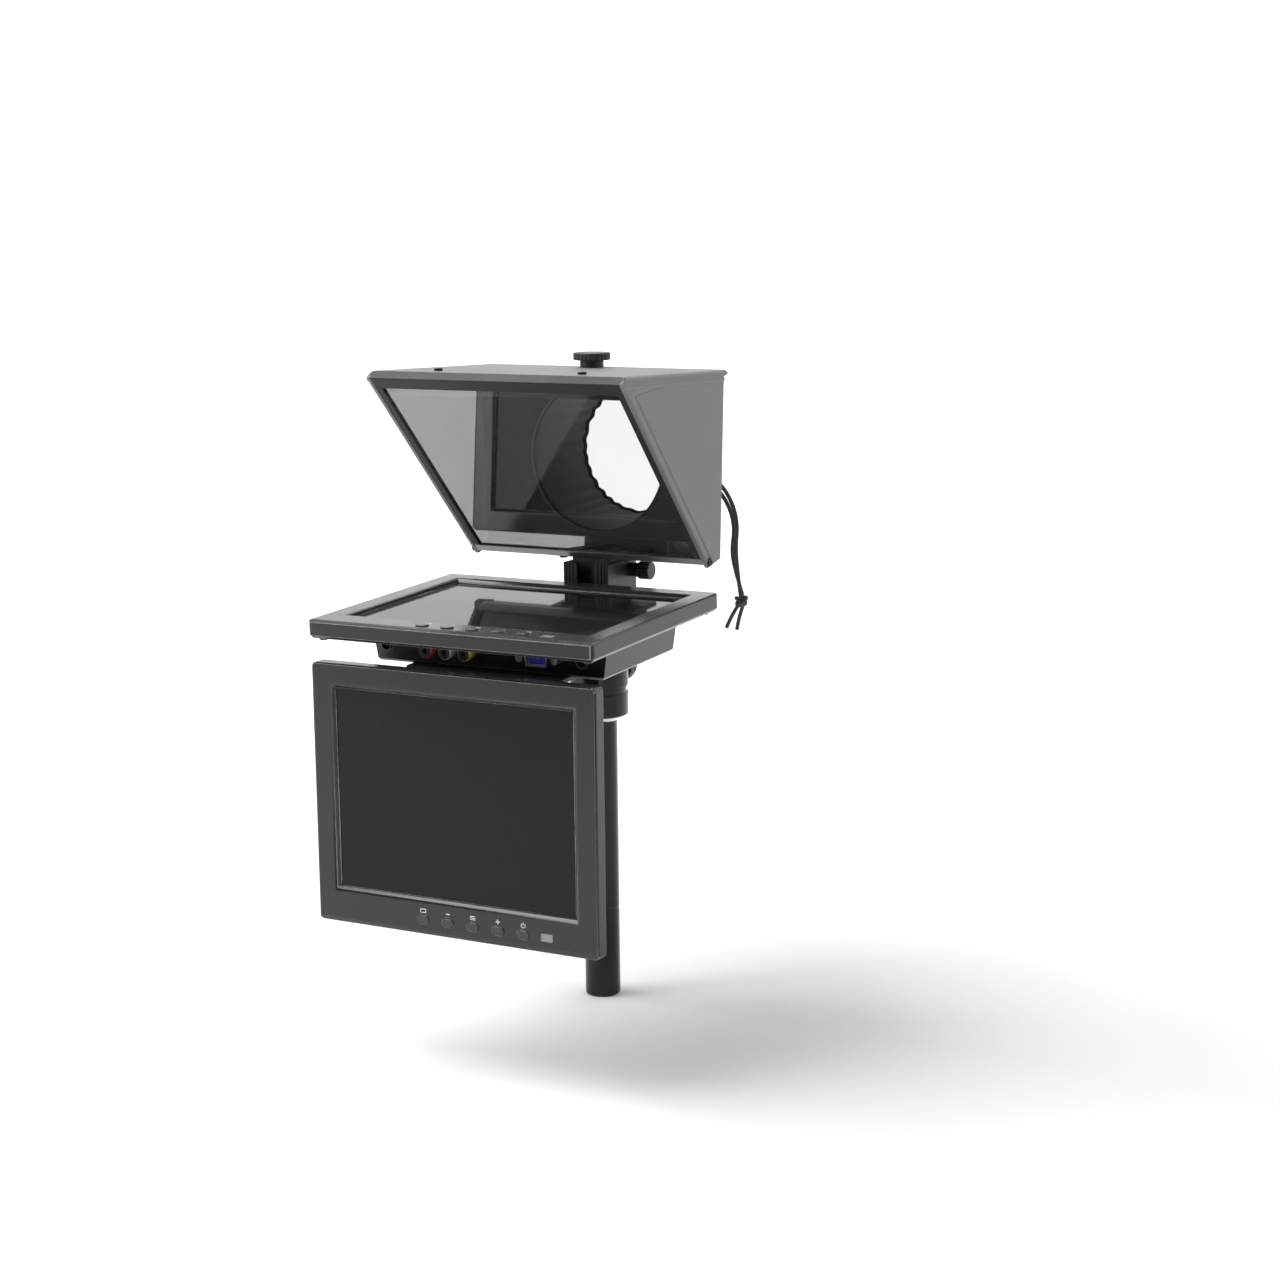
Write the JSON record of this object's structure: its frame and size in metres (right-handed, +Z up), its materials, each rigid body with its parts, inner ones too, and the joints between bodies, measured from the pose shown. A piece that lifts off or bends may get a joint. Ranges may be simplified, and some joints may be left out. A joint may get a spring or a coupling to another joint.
{
  "type": "teleprompter",
  "caption": "Teleprompter head: hood with sloped beamsplitter glass over a face-up prompter monitor, with a tilting presenter-side monitor below, on a swivelling post.",
  "frame": {"origin": "lower end of the post, on its axis", "axes": "+Z up the post; the presenter stands on the -Y side and looks along +Y into the glass, the camera stands on the +Y side; +X is to the presenter's right"},
  "size_m": [0.203, 0.2569, 0.4393],
  "materials": {
    "satin_case": "moulded, satin",
    "screen_glass": "dark, polished",
    "panel_metal": "folded sheet",
    "circuit_board": "solder mask",
    "ir_plastic": "tinted",
    "jack_plastic": "moulded",
    "port_blue": "blue insert in a plated shell",
    "black_screw": "black oxide",
    "button_plastic": "satin grey",
    "black_tube": "satin powder coat",
    "black_plastic": "moulded",
    "bright_ring": "plated",
    "bright_pin": "turned",
    "knob_plastic": "moulded, fluted",
    "black_plate": "fine powder coat",
    "black_extrusion": "black anodised",
    "hood_plastic": "fine matt texture",
    "beamsplitter": "half-silvered",
    "seal_rubber": "soft",
    "satin_bar": "grey anodised",
    "shroud_fabric": "stretch cloth",
    "cord_fabric": "braided, light fleck"
  },
  "bodies": {
    "post": {"post_tube": "black_tube", "post_end_plug": "black_plastic", "post_ring": "bright_ring"},
    "head": {"receiver_sleeve": "black_tube", "base_screws": "black_screw", "tray_plate": "black_plate", "talent_hanger": "black_plate", "tilt_pin": "bright_pin", "upright_channel": "black_extrusion", "flat_bezel": "satin_case", "flat_screen": "screen_glass", "flat_lcd_module": "panel_metal", "flat_ir_window": "ir_plastic", "flat_rear_housing": "satin_case", "flat_driver_board": "circuit_board", "flat_key_board": "circuit_board", "flat_rca_jacks": "jack_plastic", "flat_round_jacks": "jack_plastic", "flat_vga_port": "port_blue", "flat_screws": "black_screw"},
    "talent_monitor": {"tilt_plate": "black_plate", "talent_bezel": "satin_case", "talent_screen": "screen_glass", "talent_lcd_module": "panel_metal", "talent_ir_window": "ir_plastic", "talent_rear_housing": "satin_case", "talent_driver_board": "circuit_board", "talent_key_board": "circuit_board", "talent_rca_jacks": "jack_plastic", "talent_round_jacks": "jack_plastic", "talent_vga_port": "port_blue", "talent_screws": "black_screw"},
    "hood": {"hood_stem": "black_plate", "hood_shell": "hood_plastic", "hood_back_plate": "black_plate", "beamsplitter_glass": "beamsplitter", "glass_seal": "seal_rubber", "glass_ledge": "satin_bar", "glass_retainer": "black_plastic", "hood_screws": "black_screw", "shroud_clamp_ring": "black_plastic", "shroud_ring_screws": "black_screw", "lens_shroud": "shroud_fabric", "draw_cord_a": "cord_fabric", "draw_cord_b": "cord_fabric", "cord_knot": "cord_fabric", "cord_tails": "cord_fabric"},
    "hood_knob_body": {"hood_knob": "knob_plastic"},
    "slide_knob_body": {"slide_knob": "knob_plastic"},
    "receiver_knob_body": {"receiver_knob": "knob_plastic"},
    "flat_mode_key": {"flat_button_mode": "button_plastic"},
    "flat_minus_key": {"flat_button_minus": "button_plastic"},
    "flat_menu_key": {"flat_button_menu": "button_plastic"},
    "flat_plus_key": {"flat_button_plus": "button_plastic"},
    "flat_power_key": {"flat_button_power": "button_plastic"},
    "talent_mode_key": {"talent_button_mode": "button_plastic"},
    "talent_minus_key": {"talent_button_minus": "button_plastic"},
    "talent_menu_key": {"talent_button_menu": "button_plastic"},
    "talent_plus_key": {"talent_button_plus": "button_plastic"},
    "talent_power_key": {"talent_button_power": "button_plastic"}
  },
  "joints": [
    {"name": "post_swivel", "type": "hinge", "parent": "post", "child": "head", "pos_m": [0, 0, 0.2], "axis": [0, 0, 1], "continuous": true},
    {"name": "hood_height", "type": "slide", "parent": "head", "child": "hood", "axis": [0, 0, 1], "range_m": [-0.0015, 0.018]},
    {"name": "talent_tilt", "type": "hinge", "parent": "head", "child": "talent_monitor", "pos_m": [0, -0.13142, 0.16775], "axis": [1, 0, 0], "range_deg": [-10, 12]},
    {"name": "hood_knob_turn", "type": "hinge", "parent": "hood", "child": "hood_knob_body", "pos_m": [0, -0.004, 0.43], "axis": [0, 0, 1], "range_deg": [0, 360]},
    {"name": "slide_knob_turn", "type": "hinge", "parent": "head", "child": "slide_knob_body", "pos_m": [0.024, 0.015, 0.2938], "axis": [1, 0, 0], "range_deg": [0, 360]},
    {"name": "receiver_knob_turn", "type": "hinge", "parent": "head", "child": "receiver_knob_body", "pos_m": [0, 0.02, 0.226], "axis": [0, 1, 0], "range_deg": [0, 360]},
    {"name": "flat_mode_press", "type": "slide", "parent": "head", "child": "flat_mode_key", "axis": [0, 0.0384, -0.9993], "range_m": [0, 0.0008], "stiffness_N_per_m": 400, "springref_m": -0.0004},
    {"name": "flat_minus_press", "type": "slide", "parent": "head", "child": "flat_minus_key", "axis": [0, 0.0384, -0.9993], "range_m": [0, 0.0008], "stiffness_N_per_m": 400, "springref_m": -0.0004},
    {"name": "flat_menu_press", "type": "slide", "parent": "head", "child": "flat_menu_key", "axis": [0, 0.0384, -0.9993], "range_m": [0, 0.0008], "stiffness_N_per_m": 400, "springref_m": -0.0004},
    {"name": "flat_plus_press", "type": "slide", "parent": "head", "child": "flat_plus_key", "axis": [0, 0.0384, -0.9993], "range_m": [0, 0.0008], "stiffness_N_per_m": 400, "springref_m": -0.0004},
    {"name": "flat_power_press", "type": "slide", "parent": "head", "child": "flat_power_key", "axis": [0, 0.0384, -0.9993], "range_m": [0, 0.0008], "stiffness_N_per_m": 400, "springref_m": -0.0004},
    {"name": "talent_mode_press", "type": "slide", "parent": "talent_monitor", "child": "talent_mode_key", "axis": [0, 1, 0], "range_m": [0, 0.0008], "stiffness_N_per_m": 400, "springref_m": -0.0004},
    {"name": "talent_minus_press", "type": "slide", "parent": "talent_monitor", "child": "talent_minus_key", "axis": [0, 1, 0], "range_m": [0, 0.0008], "stiffness_N_per_m": 400, "springref_m": -0.0004},
    {"name": "talent_menu_press", "type": "slide", "parent": "talent_monitor", "child": "talent_menu_key", "axis": [0, 1, 0], "range_m": [0, 0.0008], "stiffness_N_per_m": 400, "springref_m": -0.0004},
    {"name": "talent_plus_press", "type": "slide", "parent": "talent_monitor", "child": "talent_plus_key", "axis": [0, 1, 0], "range_m": [0, 0.0008], "stiffness_N_per_m": 400, "springref_m": -0.0004},
    {"name": "talent_power_press", "type": "slide", "parent": "talent_monitor", "child": "talent_power_key", "axis": [0, 1, 0], "range_m": [0, 0.0008], "stiffness_N_per_m": 400, "springref_m": -0.0004}
  ]
}
